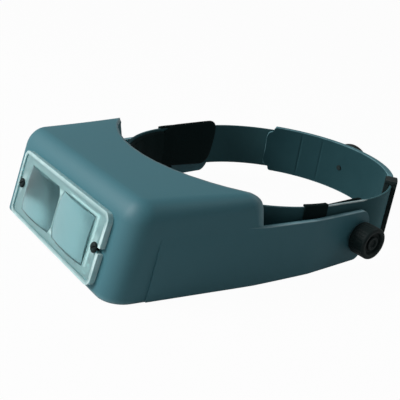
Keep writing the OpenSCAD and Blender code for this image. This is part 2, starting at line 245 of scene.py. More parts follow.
def mixColour(tree, share, low, high):
    node = tree.nodes.new("ShaderNodeMix")
    node.data_type = "RGBA"
    feed(tree, node.inputs["Factor"], share)
    feed(tree, node.inputs[6], low)
    feed(tree, node.inputs[7], high)
    return node.outputs[2]


def paintedHighlight(tree, edge):
    # mask of the painted edge highlight, scaled by its amount
    mask = groupNode(tree, highlighter, dict(zip(("Low", "High"), edge["band"])))["Mask"]
    return mathNode(tree, "MULTIPLY", mask, edge["amount"])


def between(tree, value, low, high):
    spread = tree.nodes.new("ShaderNodeMapRange")
    for label, given in (("Value", value), ("To Min", low), ("To Max", high)):
        feed(tree, spread.inputs[label], given)
    return spread.outputs[0]


def textured(name, group, values, dark, light, rough, bump, edge=None, **fixed):
    look, tree, skin = newMaterial(name)
    made = groupNode(tree, group, values)
    colour = mixColour(tree, made["Tone"], dark, light)
    if edge:
        # painted highlight: sharp edges mixed towards a pale colour
        colour = mixColour(tree, paintedHighlight(tree, edge), colour, edge["colour"])
    lift = tree.nodes.new("ShaderNodeBump")
    for label, value in (("Strength", bump[0]), ("Distance", bump[1]), ("Height", made["Height"])):
        feed(tree, lift.inputs[label], value)
    feed(tree, skin.inputs["Base Color"], colour)
    feed(tree, skin.inputs["Roughness"], between(tree, made["Tone"], *rough))
    feed(tree, skin.inputs["Normal"], lift.outputs[0])
    for label, value in fixed.items():
        feed(tree, skin.inputs[label.replace("_", " ")], value)
    return look


def clear(name, tint, ior, rough, through, edge):
    look, tree, skin = newMaterial(name)
    haze = noiseNode(tree, objectSpace(tree), hazeSet["scale"], hazeSet["detail"])
    body = mixColour(tree, haze, tint, tuple(min(1.0, c * hazeSet["lift"]) for c in tint))
    edgeHighlight = paintedHighlight(tree, edge)  # painted highlight: edges get a pale colour and less transmission, standing in for light the edges catch
    stopped = mathNode(tree, "MULTIPLY", edgeHighlight, through)
    feed(tree, skin.inputs["IOR"], ior)
    feed(tree, skin.inputs["Specular Tint"], hazeSet["shine"])
    feed(tree, skin.inputs["Base Color"], mixColour(tree, edgeHighlight, body, edge["colour"]))
    feed(tree, skin.inputs["Transmission Weight"], mathNode(tree, "SUBTRACT", through, stopped))
    feed(tree, skin.inputs["Roughness"], between(tree, haze, *rough))
    return look


bandPaint = dict(group=grain, values={"Scale": 1500, "Patch": 40}, rough=(0.48, 0.64),
                 bump=(0.3, 0.0001), Specular_IOR_Level=0.02, Sheen_Weight=0.35,
                 Sheen_Roughness=0.4, Sheen_Tint=(0.32, 0.68, 0.75))
finish = dict(
    hood=textured("hoodPlastic", grain, {"Scale": 1100, "Patch": 18},
                  (0.044, 0.152, 0.184), (0.054, 0.176, 0.212), (0.46, 0.58), (0.22, 0.00012),
                  # painted highlight along the hood's edges, such as the light line on the brow
                  dict(band=(0.52, 0.62), amount=0.8, colour=(0.40, 0.58, 0.62)),
                  Specular_IOR_Level=0.36),
    # the front band's colours are a lighter copy of the strap's, painted light standing in for light on
    # the far band's inner face
    band=textured("bandPlastic", dark=(0.029, 0.080, 0.092), light=(0.042, 0.108, 0.120),
                  # painted highlight: a pale line along the band's edges, bright even where they lie in
                  # shade
                  edge=dict(band=(0.53, 0.62), amount=1.0, colour=(0.75, 0.88, 0.88)), **bandPaint),
    strap=textured("strapPlastic", dark=(0.017, 0.054, 0.064), light=(0.026, 0.074, 0.085),
                   # painted light: the strip along the strap's rims is drawn lighter, standing in for
                   # light falling on it
                   edge=dict(band=(0.514, 0.535), amount=1.0, colour=(0.17, 0.33, 0.37)), **bandPaint),
    pad=textured("padLeather", grain, {"Scale": 620, "Patch": 60},
                 (0.002, 0.008, 0.008), (0.006, 0.016, 0.016), (0.6, 0.8), (0.5, 0.0002),
                 Specular_IOR_Level=0.06),
    loop=textured("loopCloth", weave, {"Scale": 420},
                  (0.002, 0.008, 0.008), (0.007, 0.016, 0.016), (0.75, 0.9), (0.5, 0.0002),
                  Specular_IOR_Level=0.06),
    black=textured("blackPlastic", grain, {"Scale": 1300, "Patch": 50},
                   (0.003, 0.009, 0.009), (0.008, 0.016, 0.016), (0.48, 0.6), (0.25, 0.0001),
                   # painted highlight on the sharp edges of the black parts
                   dict(band=(0.53, 0.66), amount=0.6, colour=(0.05, 0.08, 0.08)),
                   Specular_IOR_Level=0.14),
    steel=textured("brushedSteel", grain, {"Scale": 1600, "Patch": 80},
                   (0.36, 0.38, 0.39), (0.5, 0.52, 0.53), (0.28, 0.42), (0.1, 0.00005), Metallic=1.0),
    plate=clear("clearPlate", (0.52, 0.80, 0.80), 1.49, (0.02, 0.06), 0.66,
                # painted highlight: pale lines on the plate's edges, standing in for light they reflect
                # and refract
                dict(band=(0.52, 0.60), amount=0.9, colour=(0.72, 0.90, 0.90))),
    lens=clear("lensGlass", (0.25, 0.49, 0.52), 1.52, (0.12, 0.18), 0.95,
               # painted highlight: pale lines on the lens edges
               dict(band=(0.53, 0.62), amount=0.8, colour=(0.72, 0.92, 0.92))))
print("finishes made:", len(finish))


weldGap, carvedAngle = 0.0001, 42


def weld(mesh, near, outward=False):
    work = bmesh.new()
    work.from_mesh(mesh)
    bmesh.ops.remove_doubles(work, verts=work.verts, dist=near * mm)
    if outward:
        bmesh.ops.recalc_face_normals(work, faces=work.faces)
    work.to_mesh(mesh)
    work.free()


def shade(mesh, angle):
    mesh.polygons.foreach_set("use_smooth", [True] * len(mesh.polygons))
    mesh.set_sharp_from_angle(angle=math.radians(angle))


def meshObject(name, verts, faces):
    mesh = bpy.data.meshes.new(name)
    mesh.from_pydata([at(*v) for v in verts], [], faces)
    return linked(name, mesh)


def addPiece(name, verts, faces, body, stands, look, smooth):
    piece = meshObject(name, verts, faces)
    weld(piece.data, weldGap, True)
    piece.data.materials.append(finish[look])
    shade(piece.data, smooth)
    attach(piece, body)
    if stands:
        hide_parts(*stands)
    return piece


def applied(piece):
    bpy.context.view_layer.update()
    made = bpy.data.meshes.new_from_object(piece.evaluated_get(bpy.context.evaluated_depsgraph_get()))
    piece.modifiers.clear()
    look = piece.data.materials[0]
    piece.data = made
    made.materials.clear()
    made.materials.append(look)
    return made


def carve(piece, verts, faces):
    cutter = meshObject("slotCut", verts, faces)
    mod = piece.modifiers.new("cut", "BOOLEAN")
    mod.operation, mod.object, mod.solver = "DIFFERENCE", cutter, "EXACT"
    made = applied(piece)
    bpy.data.objects.remove(cutter)
    weld(made, weldGap)
    shade(made, carvedAngle)


def flipOutward(piece, middle):
    work = bmesh.new()
    work.from_mesh(piece.data)
    out = sum(f.normal.dot(f.calc_center_median() - middle) * f.calc_area() for f in work.faces)
    if out < 0:
        bmesh.ops.reverse_faces(work, faces=work.faces)
    work.to_mesh(piece.data)
    work.free()


def levelRim(piece, low):
    for v in applied(piece).vertices:
        v.co.z = max(v.co.z, low)


def solidify(piece, thick):
    mod = piece.modifiers.new("wall", "SOLIDIFY")
    mod.thickness, mod.offset, mod.use_even_offset = thick * mm, -1, True


def soften(piece, width, rounds, angle):
    mod = piece.modifiers.new("soften", "BEVEL")
    mod.width, mod.segments, mod.limit_method = width * mm, rounds, "ANGLE"
    mod.angle_limit = math.radians(angle)


def sideName(s):
    return "Left" if s > 0 else "Right"


def mirrored(verts, s):
    return [(s * x, y, z) for x, y, z in verts]


def steps(low, high, count):
    return [low + (high - low) * i / (count - 1) for i in range(count)]


def smoothly(f):
    f = min(1, max(0, f))
    return f * f * (3 - 2 * f)


def roundRise(f):
    return math.sqrt(max(0, 1 - (1 - f) ** 2))  # a quarter circle from 0 to 1


def gridFaces(rows, cols, start=0, wrap=False):
    faces = []
    for r in range(rows - 1):
        here, above = start + r * cols, start + (r + 1) * cols
        for c in range(cols if wrap else cols - 1):
            n = (c + 1) % cols
            faces.append((here + c, here + n, above + n, above + c))
    return faces


def tubeMesh(rings):
    count = len(rings[0])
    verts = [p for ring in rings for p in ring]
    faces = gridFaces(len(rings), count, wrap=True)
    faces.append(tuple(range(count - 1, -1, -1)))
    faces.append(tuple(range((len(rings) - 1) * count, len(rings) * count)))
    return verts, faces


def joined(shells):
    verts, faces = [], []
    for shellVerts, shellFaces in shells:
        faces += [tuple(len(verts) + i for i in face) for face in shellFaces]
        verts += shellVerts
    return verts, faces


def roundedRect(w, h, r, count):
    pts = []
    for n, (sx, sy) in enumerate(((1, 1), (-1, 1), (-1, -1), (1, -1))):
        cx, cy = sx * (w / 2 - r), sy * (h / 2 - r)
        for a in steps(90 * n, 90 * n + 90, count):
            pts.append((cx + r * math.cos(math.radians(a)), cy + r * math.sin(math.radians(a))))
    return pts


def turned(profile, spin, place, count, ripple=None):
    rings = []  # a lathe about +X, profile of (radius, along)
    for r, x in profile:
        ring = []
        for i in range(count):
            a = 2 * math.pi * i / count
            radius = ripple(r, x, a) if ripple else r
            ring.append(tuple(place + spin @ Vector((x, radius * math.cos(a), radius * math.sin(a)))))
        rings.append(ring)
    return tubeMesh(rings)


hoodSet = dict(
    front=164, tilt=12.4, halfFront=71.5, halfArm=85.4, straight=40, top=31.5, slope=0.02, drop=22.5,
    wall=2.5, middle=-110, cornerR=14, frontR=11, rearR=7.5, roofEnd=82,
    stepLean=3, stepLow=14.5, stepR=5, stepFillet=1.5, browC=4.4, browR=116.4, browPast=1.5,
    windowHalf=43.2, windowHigh=15.5, shoulder=50.0, rowsBelow=(-21.5, -18.5),
    rowsBeside=(-7.5, 0, 7.5, 13.0, 14.5), rowsAbove=(16.3, 17.2, 18.5, 20.0),
    cornerRows=13, sideRows=19, edgeRows=10, soft=dict(width=0.8, rounds=3, angle=62), cornerWeld=0.12)
lean = math.tan(math.radians(hoodSet["tilt"]))
splay = (hoodSet["halfArm"] - hoodSet["halfFront"]) / (hoodSet["front"] - hoodSet["straight"])
sideTurn = math.atan(splay)
cornerX = hoodSet["halfFront"] + splay * hoodSet["cornerR"] - hoodSet["cornerR"] / math.cos(sideTurn)


def roofAt(y):
    return hoodSet["top"] + hoodSet["slope"] * (hoodSet["front"] + y)


def hoodRear(z):
    h = hoodSet  # rounded at the roof, leaning below it and filleted where it meets the arm
    roof = roofAt(-h["roofEnd"])
    if z > roof - h["stepR"]:
        rise = min(1, (z - roof + h["stepR"]) / h["stepR"])
        return -h["roofEnd"] - h["stepR"] + h["stepR"] * math.cos(math.asin(rise))
    tall = roof - h["stepR"] - h["stepLow"]
    slope = h["stepLean"] * (roof - h["stepR"] - max(z, h["stepLow"])) / tall
    up = min(h["stepFillet"], max(0, h["stepLow"] + h["stepFillet"] - z))
    return -h["roofEnd"] + slope + h["stepFillet"] - math.sqrt(h["stepFillet"] ** 2 - up ** 2)


def hoodPoint(station, level):
    h, big = hoodSet, hoodSet["cornerR"]
    kind, f = station
    small = h["frontR"] if kind == "arc" else h["frontR"] + (h["rearR"] - h["frontR"]) * f
    flatY = -h["front"] + lean * (h["top"] - h["frontR"]) + big
    if kind == "arc":
        roof = roofAt(flatY - (big - small) * math.cos(f))
    else:
        startY = flatY - (big - h["frontR"]) * math.sin(sideTurn)
        roof = roofAt(startY + f * (-h["roofEnd"] - h["stepR"] - startY))
    base = roof - small
    row, p = level
    if row == "wall":
        z, inset, shift = p, 0, 0
    else:
        z, inset = base + small * math.sin(p), small * (1 - math.cos(p))
        shift = lean * (small * math.sin(p) * math.cos(p) - (z - base))
    wallY = -h["front"] + lean * z + shift
    if kind == "arc":
        reach = big - inset
        return (cornerX + reach * math.sin(f), wallY + big - reach * math.cos(f), z)
    reach = big - h["frontR"] / small * inset
    x0, y0 = cornerX + reach * math.cos(sideTurn), wallY + big - reach * math.sin(sideTurn)
    y1 = hoodRear(z)
    x1 = h["halfFront"] + splay * (h["front"] + y1) - inset / math.cos(sideTurn)
    return (x0 + (x1 - x0) * f, y0 + (y1 - y0) * f, z)


def makeHood():
    h = hoodSet
    across = sorted({-cornerX, cornerX, -h["shoulder"], h["shoulder"]}
                    | {h["windowHalf"] * (n / 4) for n in range(-4, 5)})
    stations = [("arc", a) for a in steps(0, math.pi / 2 - sideTurn, h["cornerRows"])]
    stations += [("side", f) for f in steps(0, 1, h["sideRows"])[1:]]
    heights = [-h["drop"], *h["rowsBelow"], -h["windowHigh"], *h["rowsBeside"]]
    heights += [h["windowHigh"], *h["rowsAbove"]]
    levels = [("wall", z) for z in heights]
    levels += [("edge", p) for p in steps(0, math.pi / 2, h["edgeRows"])]
    top, last, rear = len(levels) - 1, len(across) - 1, len(stations) - 1
    verts, index, faces = [], {}, []

    def put(key, p):
        index[key] = len(verts)
        verts.append(p)

    for i, x in enumerate(across):  # front wall and the roof's front edge
        for r, level in enumerate(levels):
            _, y, z = hoodPoint(("arc", 0), level)
            put(("f", i, r), (x, y, z))
    for s in (-1, 1):  # corners and side walls
        for n, station in enumerate(stations):
            for r, level in enumerate(levels):
                if n == 0:
                    index[("s", s, n, r)] = index[("f", 0 if s < 0 else last, r)]
                    continue
                x, y, z = hoodPoint(station, level)
                put(("s", s, n, r), (s * x, y, z))
    y0 = verts[index[("f", 0, top)]][1]
    xEnd, yEnd, _ = verts[index[("s", 1, rear, top)]]

    def brow(x):
        return min(h["browC"] - math.sqrt(h["browR"] ** 2 - x ** 2), yEnd + h["browPast"])

    for n in range(rear + 1):  # roof, row by row back to the brow
        for i in range(last + 1):
            if n == 0:
                index[("r", n, i)] = index[("f", i, top)]
            elif i in (0, last):
                index[("r", n, i)] = index[("s", -1 if i == 0 else 1, n, top)]
            else:
                xSide, ySide, _ = verts[index[("s", 1, n, top)]]
                c = across[i] / across[last]
                v = (ySide - y0) / (yEnd - y0)
                back = yEnd + (brow(c * xEnd) - brow(xEnd))
                y = y0 + v * (back - y0)
                put(("r", n, i), (c * xSide, y, roofAt(y)))

    def quad(*keys):
        faces.append(tuple(index[key] for key in keys))

    def inWindow(i, r):
        if levels[r + 1][0] != "wall" or abs(across[i] + across[i + 1]) / 2 >= h["windowHalf"]:
            return False
        return -h["windowHigh"] <= levels[r][1] and levels[r + 1][1] <= h["windowHigh"]

    for i in range(last):
        for r in range(top):
            if not inWindow(i, r):
                quad(("f", i, r), ("f", i + 1, r), ("f", i + 1, r + 1), ("f", i, r + 1))
    for s in (-1, 1):
        for n in range(rear):
            for r in range(top):
                quad(("s", s, n, r), ("s", s, n + 1, r), ("s", s, n + 1, r + 1), ("s", s, n, r + 1))
    for n in range(rear):
        for i in range(last):
            quad(("r", n, i), ("r", n, i + 1), ("r", n + 1, i + 1), ("r", n + 1, i))
    hood = addPiece("hoodShell", verts, faces, "visor", ["visor_hood"], "hood", smooth=60)
    flipOutward(hood, at(0, h["middle"], 0))
    solidify(hood, h["wall"])
    levelRim(hood, at(0, 0, -h["drop"]).z)
    soften(hood, **h["soft"])
    weld(applied(hood), h["cornerWeld"])  # the wall's inner corner closes to a line


armSet = dict(
    thick=3.0, r=17, end=9, proud=1.0, panel=0.75, easeFrom=-60, easeLong=30,
    joinY=-79, joinZ=14.5, topY=-137, topZ=16.5, cornerR=6, frontY=-148, frontLean=0.154, frontBend=4,
    fade=14, fadeFrom=4, fadeLong=10, sunk=0.15,
    share=(0, 0.04, 0.12, 0.25, 0.38, 0.5, 0.62, 0.72, 0.8, 0.86, 0.91, 0.95, 0.98, 1.0),
    endRows=(6, 90, 22), panelRows=(0.2, 0.4, 0.6, 0.75), frontRows=(0.85, 1.0, 14),
    soft=dict(width=0.7, rounds=3, angle=50))


def armEnd(y):
    return armSet["r"] * math.sqrt(max(0, 1 - (y / armSet["end"]) ** 2))


def armTop(y):
    q = armSet
    if y > 0:
        return armEnd(y)
    if y > q["joinY"]:
        return q["r"] + (q["joinZ"] - q["r"]) * y / q["joinY"]
    return q["joinZ"] + (q["topZ"] - q["joinZ"]) * min(1, (q["joinY"] - y) / (q["joinY"] - q["topY"]))


def armBottom(y):
    r, drop = armSet["r"], hoodSet["drop"]
    return -armEnd(y) if y > 0 else max(-drop, -r + (r - drop) * -y / hoodSet["roofEnd"])


def panelFront(z):
    q = armSet
    rise = max(0, z - (q["topZ"] - q["cornerR"]))
    bend = q["cornerR"] - math.sqrt(max(0, q["cornerR"] ** 2 - rise ** 2))
    return q["frontY"] + q["frontLean"] * (z + hoodSet["drop"]) + bend


def sideX(y, z):
    h = hoodSet
    if y > -h["straight"]:
        return h["halfArm"]
    far = h["halfFront"] + splay * (h["front"] + y)
    return far - splay * lean * z * smoothly((-h["roofEnd"] - y) / (h["front"] - h["roofEnd"]))


def armProud(y, z):
    q = armSet
    height = q["proud"] + (q["panel"] - q["proud"]) * smoothly((q["easeFrom"] - y) / q["easeLong"])
    sink = smoothly((q["joinY"] + q["fadeFrom"] - y) / q["fadeLong"])
    sink *= smoothly((z - q["topZ"] + q["fade"]) / q["fade"])
    return height - sink * (height + q["sunk"])  # the panel's top runs out into the hood's side


def makeArm(s):
    h, q = hoodSet, armSet
    bar = [q["end"] * math.cos(math.radians(a)) for a in steps(*q["endRows"])]
    bar += steps(0, -h["straight"], 10)[1:] + steps(-h["straight"], q["joinY"], 9)[1:]
    panel = [*q["panelRows"], *steps(*q["frontRows"])]
    rows = [(y, None) for y in bar]
    rows += [(q["joinY"] + u * (q["frontY"] + q["frontBend"] - q["joinY"]), u) for u in panel]
    verts = []
    for y, u in rows:
        for v in q["share"]:
            z = armBottom(y) + v * (armTop(y) - armBottom(y))
            here = y if u is None else q["joinY"] + u * (panelFront(z) - q["joinY"])
            verts.append((s * (sideX(here, z) + armProud(here, z)), here, z))
    faces = gridFaces(len(rows), len(q["share"]))
    arm = addPiece("hoodArm" + sideName(s), verts, faces, "visor", [], "hood", smooth=50)
    flipOutward(arm, at(0, h["middle"], 0))
    solidify(arm, q["thick"])
    soften(arm, **q["soft"])


makeHood()
for side in (-1, 1):
    makeArm(side)
print("hood made")


plateSet = dict(
    w=108, t=3.2, lipDeep=0.7, inset=5.8, seat=0.05, lensR=24, lensT=5.4, pitch=45, windowH=29, edge=41,
    bridge=0.6, curve=95, rimPoints=180, rimGap=0.2, rings=12,
    soft=dict(width=0.25, rounds=2, angle=50))
wallTurn = Matrix.Rotation(math.radians(-hoodSet["tilt"]), 3, "X")


def onWall(x, up, out):
    p = wallTurn @ Vector((x, -out, up))
    return (p.x, p.y - hoodSet["front"], p.z)


def lensOutline(s):
    p = plateSet
    cx, r = s * p["pitch"] / 2, p["lensR"]
    low, high = sorted((s * p["bridge"], s * p["edge"]))
    half = p["windowH"] / 2
    pts = []
    for i in range(p["rimPoints"]):
        a = 2 * math.pi * i / p["rimPoints"]
        x = min(max(cx + r * math.cos(a), low), high)
        z = min(max(r * math.sin(a), -half), half)
        if not pts or abs(pts[-1][0] - x) + abs(pts[-1][1] - z) > p["rimGap"]:
            pts.append((x, z))
    return pts


def makeLens(s):
    p, rings, rim = plateSet, plateSet["rings"], lensOutline(s)
    cx, n = s * p["pitch"] / 2, len(rim)

    def crown(x, z):
        return p["seat"] + p["lensT"] - p["curve"] + math.sqrt(p["curve"] ** 2 - (x - cx) ** 2 - z ** 2)

    verts = [onWall(cx, 0, crown(cx, 0))]
    for k in range(1, rings + 1):
        for x, z in rim:
            xx, zz = cx + (x - cx) * k / rings, z * k / rings
            verts.append(onWall(xx, zz, crown(xx, zz)))
    base = len(verts)
    verts += [onWall(x, z, p["seat"]) for x, z in rim]
    faces = [(0, 1 + i, 1 + (i + 1) % n) for i in range(n)] + gridFaces(rings + 1, n, 1, wrap=True)
    faces.append(tuple(range(base, base + n)))
    name = sideName(s)
    lens = addPiece("lens" + name, verts, faces, "visor", ["lens_" + name.lower()], "lens",
                    smooth=30)
    soften(lens, **p["soft"])


for side in (-1, 1):
    makeLens(side)
print("lenses made")


bandSet = dict(radius=81.5, side=31, rearY=3, thick=1.6, height=31.5, lift=6.4,
               tailRight=16, tailLeft=13, gap=0.2, corner=0.45, parts=6)
slotSet = dict(low=-9, high=22, tall=3.2, deep=16, inset=6, corner=1.5, rows=24, beside=(-2.1, 2.1))
rowSet = dict(least=4, edge=0.7)
frontY = bandSet["rearY"] - bandSet["side"]


def arcPath(points):
    return [(cy, math.radians(phi)) for cy, phi in points]


def sweep(path, profile):
    rings = []
    for n, (cy, phi) in enumerate(path):
        ring = []
        for r, z in profile(n) if callable(profile) else profile:
            ring.append((r * math.cos(phi), cy + r * math.sin(phi), z + bandSet["lift"]))
        rings.append(ring)
    return tubeMesh(rings)


def flatStrip(r, t, h, corner):
    return [(r + t / 2 + x, z) for x, z in roundedRect(t, h, corner, 4)]


def denser(profile, parts, beside=()):
    out = []
    for a, b in zip(profile, profile[1:] + profile[:1]):
        far = math.hypot(b[0] - a[0], b[1] - a[1])
        shares = [0]
        if far > rowSet["least"]:  # even rows, close ones at each edge and others beside the middle
            shares += [rowSet["edge"] / far, 1 - rowSet["edge"] / far]
            shares += [i / parts for i in range(1, parts)] + [0.5 + d / far for d in beside]
        out += [(a[0] + (b[0] - a[0]) * f, a[1] + (b[1] - a[1]) * f) for f in sorted(shares)]
    return out


def makeFrontBand():
    b, q = bandSet, slotSet
    path = arcPath([(b["rearY"], a) for a in steps(90 + b["tailLeft"], 0, 60)]
                   + [(y, 0) for y in steps(b["rearY"], frontY, 8)[1:]]
                   + [(frontY, a) for a in steps(0, -180, 90)[1:]]
                   + [(y, -180) for y in steps(frontY, b["rearY"], 8)[1:]]
                   + [(b["rearY"], a) for a in steps(-180, -270 + b["tailRight"], 45)[1:]])
    strip = flatStrip(b["radius"] - b["thick"], b["thick"], b["height"], b["corner"])
    verts, faces = sweep(path, denser(strip, b["parts"], q["beside"]))
    band = addPiece("frontBand", verts, faces, "headband", ["front_band"], "band", smooth=45)
    cutPath = arcPath([(b["rearY"], 90 - a) for a in steps(q["low"], q["high"], q["rows"])])
    outline = roundedRect(q["deep"], q["tall"], q["corner"], 5)
    box = [(b["radius"] - q["inset"] + x, z) for x, z in outline]
    carve(band, *sweep(cutPath, box))


strapSet = dict(
    height=37.5, right=49, left=46, split=0.5, start=0.35, endFrom=0.36, endRound=1.5, endDrop=4,
    tab=4, tabHeight=30, tabRound=3.2, tabDrop=9, tabEnd=0.7,
    rimReach=4.2, rimRound=0.6, rimFrom=0.4, flush=0.02,
    seams=(-32, -19), seamDeep=0.5, seamWide=0.35, seamSkin=0.1, seamInset=2, parts=12)


def channel(inner, reach, tall):
    b, q = bandSet, strapSet  # a strip with rims that lie over and under the band's tails
    under = min(b["height"] / 2 + b["gap"], tall / 2 - 2 * q["rimRound"])
    wall, lip = inner + b["thick"], inner + reach
    groove = [(lip, -under), (wall, -under), (wall, under), (lip, under)]
    return flatStrip(inner, reach, tall, q["rimRound"]) + groove


def makeRearStrap():
    b, q = bandSet, strapSet
    inner = b["radius"] - 2 * b["thick"] - b["gap"]
    angles = steps(-q["right"] - q["tab"], -q["right"] - q["tabEnd"], 9)
    angles += steps(-q["right"] - q["start"], q["left"], 200)

    def profile(n):
        deg, tall = angles[n], q["height"]
        ends = min(deg + q["right"] + q["endFrom"], q["left"] - deg)
        if deg < -q["right"] - q["split"]:
            f = min(1, (deg + q["right"] + q["tab"]) / q["tabRound"])
            tall = q["tabHeight"] - q["tabDrop"] * (1 - roundRise(f))
        elif ends < q["endRound"]:
            tall -= q["endDrop"] * (1 - roundRise(ends / q["endRound"]))
        dip = max(q["seamDeep"] * math.exp(-((deg - s) / q["seamWide"]) ** 2) for s in q["seams"])
        rimmed = -q["right"] + q["rimFrom"] < deg < q["left"] - q["rimFrom"]
        reach = q["rimReach"] if rimmed else b["thick"] + q["flush"]
        strip = denser(channel(inner, reach, tall), q["parts"])
        skin, high = inner + q["seamSkin"], tall / 2 - q["seamInset"]
        return [(r + (dip if r < skin and abs(z) < high else 0), z) for r, z in strip]

    path = arcPath([(b["rearY"], 90 - a) for a in angles])
    verts, faces = sweep(path, profile)
    addPiece("rearStrap", verts, faces, "headband", ["rear_strap"], "strap", smooth=45)


padSet = dict(thick=2.6, crown=0.9, edge=0.9, bendFrom=0.9, bendLong=0.1, back=0.4)
sweatSet = dict(tall=29, startDeg=11.2, rows=110, puff=0.35, waves=(0.55, 0.23), skin=1,
                endRows=6, endTall=(0.92, 0.08))
stitchSet = dict(half=1.1, r=0.28, tip=0.25, along=(-1, -0.7, 0, 0.7, 1), around=6,
                 inset=2.4, fromDeg=3, count=64, crown=0.72)
templeSet = dict(
    front=-15, rear=34.4, top=(16.2, 19.2), bottom=(-16.6, -17.4), nearLift=-1.8, farLift=1.6,
    tall=36, rows=46, ramp=9, join=0.98, startThick=(0.3, 0.7),
    slant=2.2, slantFrom=0.55, slantLong=0.45)
loopSet = dict(span=(-1.5, -13.5), rows=18, seat=0.05, parts=8,
               outside=((0.5, 1.2), (0.95, 0.9), (1.1, 0.2)))
padOuter = bandSet["radius"] - bandSet["thick"] - bandSet["gap"]


def padProfile(tall):
    q, pts = padSet, []
    for z in steps(-tall / 2, tall / 2, 25):  # inner, crowned face
        f = 2 * z / tall
        bend = max(0, (abs(f) - q["bendFrom"]) / q["bendLong"]) ** 2
        drop = q["crown"] * f * f + (q["thick"] - q["crown"] - q["edge"]) * bend
        pts.append((padOuter - q["thick"] + drop, z))
    return pts + [(padOuter, z) for z in steps(tall / 2 - q["back"], -tall / 2 + q["back"], 9)]


def stitchRun(points, body, name):
    q = stitchSet
    turns = [2 * math.pi * i / q["around"] for i in range(q["around"])]
    ends = (q["along"][0], q["along"][-1])
    shells = []
    for place, along in points:  # one small rounded stitch at each place
        across = along.cross(Vector((0, 0, 1)))
        across.normalize()
        up = across.cross(along)
        spokes = [across * math.cos(a) + up * math.sin(a) for a in turns]
        rings = []
        for f in q["along"]:
            swell = q["r"] * (q["tip"] if f in ends else 1)
            middle = place + along * q["half"] * f
            rings.append([tuple(middle + spoke * swell) for spoke in spokes])
        shells.append(tubeMesh(rings))
    verts, faces = joined(shells)
    addPiece(name, verts, faces, body, [], "loop", smooth=60)


def makeSweatband():
    q, t = sweatSet, stitchSet
    path = arcPath([(frontY, a) for a in steps(-q["startDeg"], -180 + q["startDeg"], q["rows"])])
    base = padProfile(q["tall"])

    def profile(n):
        f = roundRise(min(1, min(n, len(path) - 1 - n) / q["endRows"]))
        puff = q["puff"] * math.sin(n * q["waves"][0]) * math.sin(n * q["waves"][1] + 1)
        high = q["endTall"][0] + q["endTall"][1] * f
        return [(r - (puff if r < padOuter - q["skin"] else 0), z * high) for r, z in base]

    verts, faces = sweep(path, profile)
    liner = addPiece("sweatbandPad", verts, faces, "headband", ["sweatband"], "pad", smooth=50)
    r = padOuter - padSet["thick"] + padSet["crown"] * t["crown"]
    inset = q["startDeg"] + t["fromDeg"]
    places = []
    for row in (-1, 1):
        z = bandSet["lift"] + row * (q["tall"] / 2 - t["inset"])
        for a in steps(-inset, -180 + inset, t["count"]):
            c, s = math.cos(math.radians(a)), math.sin(math.radians(a))
            places.append((Vector((r * c, frontY + r * s, z)), Vector((-s, c, 0))))
    stitchRun(places, "headband", "sweatbandStitches")


def besideTemple(along, r, z):
    b = bandSet
    if along < 0:
        cy, turn = frontY, along / b["radius"]
    elif along > b["side"]:
        cy, turn = b["rearY"], (along - b["side"]) / b["radius"]
    else:
        cy, turn = frontY + along, 0
    return (r * math.cos(turn), cy + r * math.sin(turn), z + b["lift"])


def makeTemplePad(s):
    q, name = templeSet, sideName(s)
    shape, near = padProfile(q["tall"]), sweatSet["tall"] / 2 * q["join"]
    lift = q["nearLift"] if s > 0 else q["farLift"]
    thin, more = q["startThick"]
    rings = []
    for d in steps(q["front"], q["rear"], q["rows"]):
        f = (d - q["front"]) / (q["rear"] - q["front"])
        start, end = min(1, (d - q["front"]) / q["ramp"]), min(1, (q["rear"] - d) / q["ramp"])
        full = roundRise(end)
        top, bottom = (e[0] + (e[1] - e[0]) * f + lift for e in (q["top"], q["bottom"]))
        top = near + (top - near) * smoothly(start)
        bottom = -near + (bottom + near) * smoothly(start)
        deep = 0.5 + 0.5 * min(full, thin + more * start)
        slant = q["slant"] * smoothly((f - q["slantFrom"]) / q["slantLong"])
        ring = []
        for r, z in shape:
            high = (top + bottom) / 2 + z / q["tall"] * (top - bottom) * (0.5 + 0.5 * full)
            along = d + slant * high / (q["tall"] / 2)
            ring.append(besideTemple(along, padOuter - (padOuter - r) * deep, high))
        rings.append(ring)
    verts, faces = tubeMesh(rings)
    pad = addPiece("templePad" + name, mirrored(verts, s), faces, "headband",
                   ["temple_pad_" + name.lower()], "pad", smooth=50)


def makeLoop(s):
    b, q, name = bandSet, loopSet, sideName(s)
    path = arcPath([(frontY, a) for a in steps(*q["span"], q["rows"])])
    half, seat, bore = b["height"] / 2 + b["gap"], padOuter + q["seat"], b["radius"] + b["gap"]
    corner = [(b["radius"] + out, half + up) for out, up in q["outside"]]
    rim = corner[0][1]
    wrap = [(seat, half), (bore, half), (bore, -half), (seat, -half), (seat, -rim)]
    wrap += [(r, -z) for r, z in corner] + corner[::-1] + [(seat, rim)]
    verts, faces = sweep(path, denser(wrap, q["parts"]))
    addPiece("padLoop" + name, mirrored(verts, s), faces, "headband",
             ["sweatband_loop_" + name.lower()], "loop", smooth=50)


makeFrontBand()
makeRearStrap()
makeSweatband()
for side in (-1, 1):
    makeTemplePad(side)
    makeLoop(side)
print("headband made")


buckleSet = dict(place=52, span=8.5, gapTall=32.4, bar=2.6, play=0.6, fingers=5.5, lap=1,
                 corner=0.6, rows=8)


def bentBar(deg, r, z):
    path = arcPath([(bandSet["rearY"], 90 - a) for a in steps(*deg, buckleSet["rows"])])
    outline = roundedRect(r[1] - r[0], z[1] - z[0], buckleSet["corner"], 4)
    return sweep(path, [((r[0] + r[1]) / 2 + x, (z[0] + z[1]) / 2 + y) for x, y in outline])


